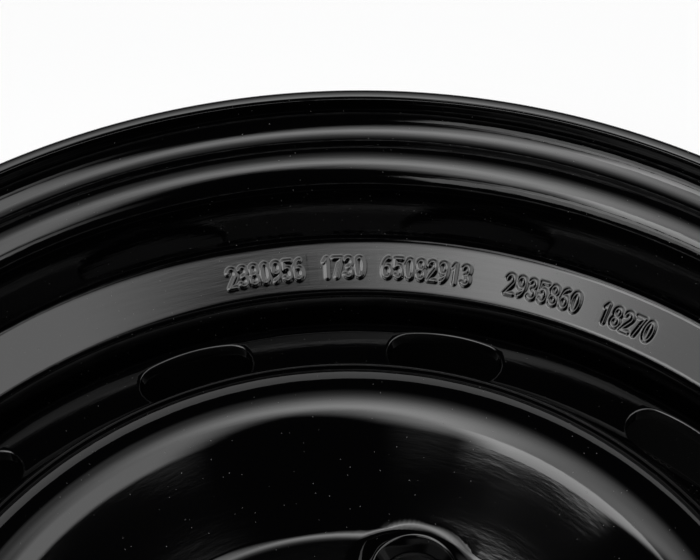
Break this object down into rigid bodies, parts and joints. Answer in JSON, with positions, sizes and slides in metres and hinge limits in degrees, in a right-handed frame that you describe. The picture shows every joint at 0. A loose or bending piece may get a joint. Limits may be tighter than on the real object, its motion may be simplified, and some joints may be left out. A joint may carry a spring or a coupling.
{
  "type": "steel wheel rim",
  "caption": "Road wheel of black painted steel: a rolled drop-centre rim with tyre flanges, welded to a pressed disc with a raised crown, oval vents, bolt seats and a centre bore.",
  "frame": {"origin": "centre of the hub mounting face, on the wheel's axis", "axes": "+Z along the wheel's axis towards its outboard face, -Y towards the valve hole"},
  "size_m": [0.364, 0.3638, 0.143],
  "materials": {
    "rim_paint": "gloss black paint",
    "disc_paint": "gloss black paint",
    "weld_paint": "gloss black paint over rough weld metal"
  },
  "bodies": {
    "root": {"rim": "rim_paint", "disc": "disc_paint", "weld_beads": "weld_paint"}
  },
  "joints": []
}
